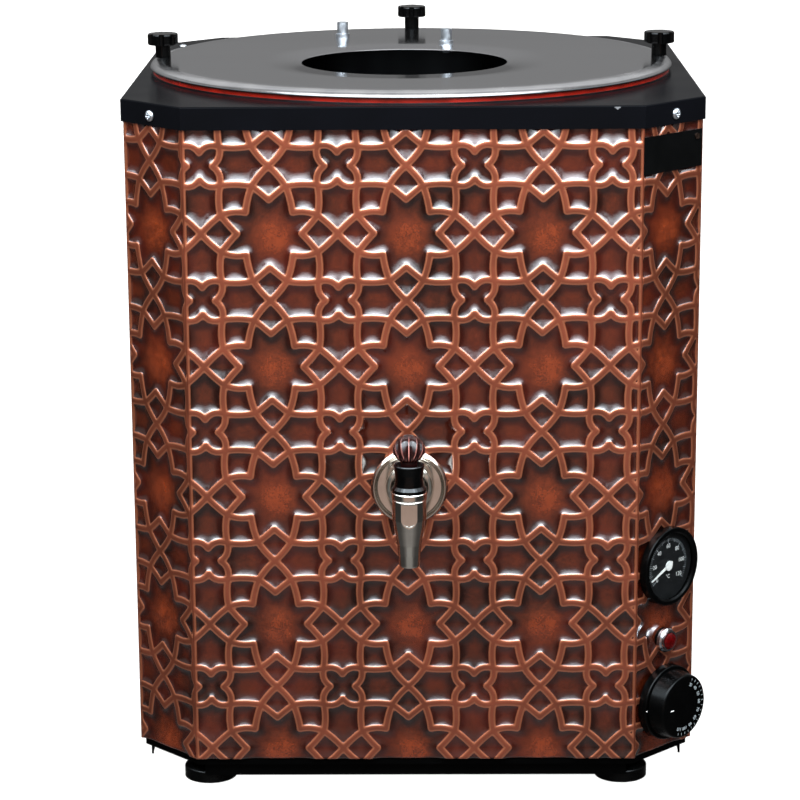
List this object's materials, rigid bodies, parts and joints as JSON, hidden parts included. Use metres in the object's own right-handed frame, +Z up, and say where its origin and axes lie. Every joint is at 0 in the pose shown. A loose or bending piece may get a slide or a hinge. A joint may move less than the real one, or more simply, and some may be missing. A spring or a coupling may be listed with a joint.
{
  "type": "electric tea maker",
  "caption": "Eight-sided embossed casing on feet with a heated water tank, clamped round lid with a teapot opening, lever tap, thermometer, pilot lamp and thermostat knob.",
  "frame": {"origin": "on the standing surface, below the middle of the whole object's outline", "axes": "+Z up, -Y out of the front with the tap, +X to the right seen from the front"},
  "size_m": [0.4362, 0.5048, 0.5505],
  "materials": {
    "black_gloss": "gloss moulded",
    "black_paint": "smooth gloss paint",
    "black_plate": "satin black",
    "black_satin": "satin moulded",
    "ceramic_white": "glazed ceramic, stood in by plastic",
    "chrome": "polished",
    "chrome_plastic": "chrome plated plastic",
    "clear_glass": "clear",
    "clear_silicone": "white silicone",
    "copper_sheet": "lacquered antique copper, embossed",
    "copper_tube": "drawn copper",
    "dark_rivet": "dark lacquer",
    "dial_face": "matt black printed white",
    "foot_plastic": "hard rubbery plastic, slight gloss",
    "heater_sheath": "heat tinted tube",
    "lid_steel": "fine satin, nearly a mirror",
    "red_lens": "clear red, faceted",
    "red_silicone": "translucent red silicone",
    "spring_steel": "drawn wire",
    "stainless": "satin",
    "thermostat_casing": "zinc coated",
    "white_pointer": "white lacquer",
    "wire_sleeve": "glass-fibre sleeve",
    "wool": "glass wool",
    "zinc": "bright zinc plated"
  },
  "bodies": {
    "base": {"front_left_foot": "foot_plastic", "front_right_foot": "foot_plastic", "rear_left_foot": "foot_plastic", "rear_right_foot": "foot_plastic", "base_tray": "black_paint", "skirt_ring": "black_paint", "foot_screws": "zinc", "foot_nuts": "zinc", "body_panel": "copper_sheet", "top_tray": "black_paint", "tray_screws": "zinc", "panel_rivets": "dark_rivet", "label_plate": "black_plate", "tank": "stainless", "insulation_jacket": "wool", "lid_gasket": "red_silicone", "knob_weld_nuts": "zinc", "tap_rosette": "chrome", "tap_body": "chrome", "tap_seal": "clear_silicone", "tap_bonnet": "black_gloss", "tap_handle_pin": "stainless", "thermometer_case": "black_satin", "thermometer_bezel": "black_satin", "thermometer_dial": "dial_face", "thermometer_glass": "clear_glass", "thermometer_sensor": "copper_tube", "pilot_lamp_bezel": "chrome_plastic", "pilot_lamp_lens": "red_lens", "pilot_lamp_body": "black_satin", "thermostat_body": "thermostat_casing", "thermostat_ring": "black_satin", "thermostat_sensor": "copper_tube", "heater_element": "heater_sheath", "heater_flange": "stainless", "heater_seal": "red_silicone", "heater_nuts": "zinc", "heat_cutout": "ceramic_white", "terminal_block": "ceramic_white", "internal_wiring": "wire_sleeve", "cable_gland": "black_satin"},
    "lid": {"lid": "lid_steel", "lid_studs": "zinc", "lid_stud_nuts": "zinc"},
    "tap_lever": {"tap_handle": "black_gloss"},
    "tap_valve": {"tap_stem": "stainless", "tap_seat_cup": "clear_silicone", "tap_spring": "spring_steel"},
    "thermometer_needle": {"thermometer_pointer": "white_pointer"},
    "thermostat_dial": {"thermostat_knob": "black_satin", "thermostat_shaft": "stainless"},
    "left_washer": {"left_knob_washer": "zinc"},
    "left_knob": {"left_lid_knob": "black_gloss", "left_knob_stud": "zinc"},
    "right_washer": {"right_knob_washer": "zinc"},
    "right_knob": {"right_lid_knob": "black_gloss", "right_knob_stud": "zinc"},
    "rear_washer": {"rear_knob_washer": "zinc"},
    "rear_knob": {"rear_lid_knob": "black_gloss", "rear_knob_stud": "zinc"}
  },
  "joints": [
    {"name": "lid_lift", "type": "slide", "parent": "base", "child": "lid", "axis": [0, 0, 1], "range_m": [0, 0.2]},
    {"name": "left_knob_rise", "type": "slide", "parent": "lid", "child": "left_washer", "axis": [0, 0, 1], "range_m": [0, 0.0085]},
    {"name": "left_knob_turn", "type": "hinge", "parent": "left_washer", "child": "left_knob", "pos_m": [-0.20139, 0.019, 0.5315], "axis": [0, 0, 1], "range_deg": [0, 3060]},
    {"name": "right_knob_rise", "type": "slide", "parent": "lid", "child": "right_washer", "axis": [0, 0, 1], "range_m": [0, 0.0085]},
    {"name": "right_knob_turn", "type": "hinge", "parent": "right_washer", "child": "right_knob", "pos_m": [0.19061, 0.019, 0.5315], "axis": [0, 0, 1], "range_deg": [0, 3060]},
    {"name": "rear_knob_rise", "type": "slide", "parent": "lid", "child": "rear_washer", "axis": [0, 0, 1], "range_m": [0, 0.0085]},
    {"name": "rear_knob_turn", "type": "hinge", "parent": "rear_washer", "child": "rear_knob", "pos_m": [-0.00539, 0.215, 0.5315], "axis": [0, 0, 1], "range_deg": [0, 3060]},
    {"name": "tap_lever_tilt", "type": "hinge", "parent": "base", "child": "tap_lever", "pos_m": [-0.00689, -0.2394, 0.263], "axis": [1, 0, 0], "range_deg": [0, 20], "stiffness_Nm_per_rad": 0.5, "springref_deg": -11.46},
    {"name": "tap_valve_lift", "type": "slide", "parent": "base", "child": "tap_valve", "axis": [0, 0, 1], "range_m": [0, 0.0025], "deforming": ["tap_spring"]},
    {"name": "thermostat_turn", "type": "hinge", "parent": "base", "child": "thermostat_dial", "pos_m": [0.18657, -0.17097, 0.0612], "axis": [-0.7071, 0.7071, 0], "range_deg": [0, 300]},
    {"name": "thermometer_needle_turn", "type": "hinge", "parent": "base", "child": "thermometer_needle", "pos_m": [0.18657, -0.17097, 0.1695], "axis": [-0.7071, 0.7071, 0], "range_deg": [-11, 241], "stiffness_Nm_per_rad": 0.0005}
  ],
  "couplings": [
    {"joint": "left_knob_turn", "follows": "left_knob_rise", "rad_per_m": 6283.2},
    {"joint": "right_knob_turn", "follows": "right_knob_rise", "rad_per_m": 6283.2},
    {"joint": "rear_knob_turn", "follows": "rear_knob_rise", "rad_per_m": 6283.2},
    {"joint": "tap_valve_lift", "follows": "tap_lever_tilt", "m_per_rad": 0.0071613}
  ]
}
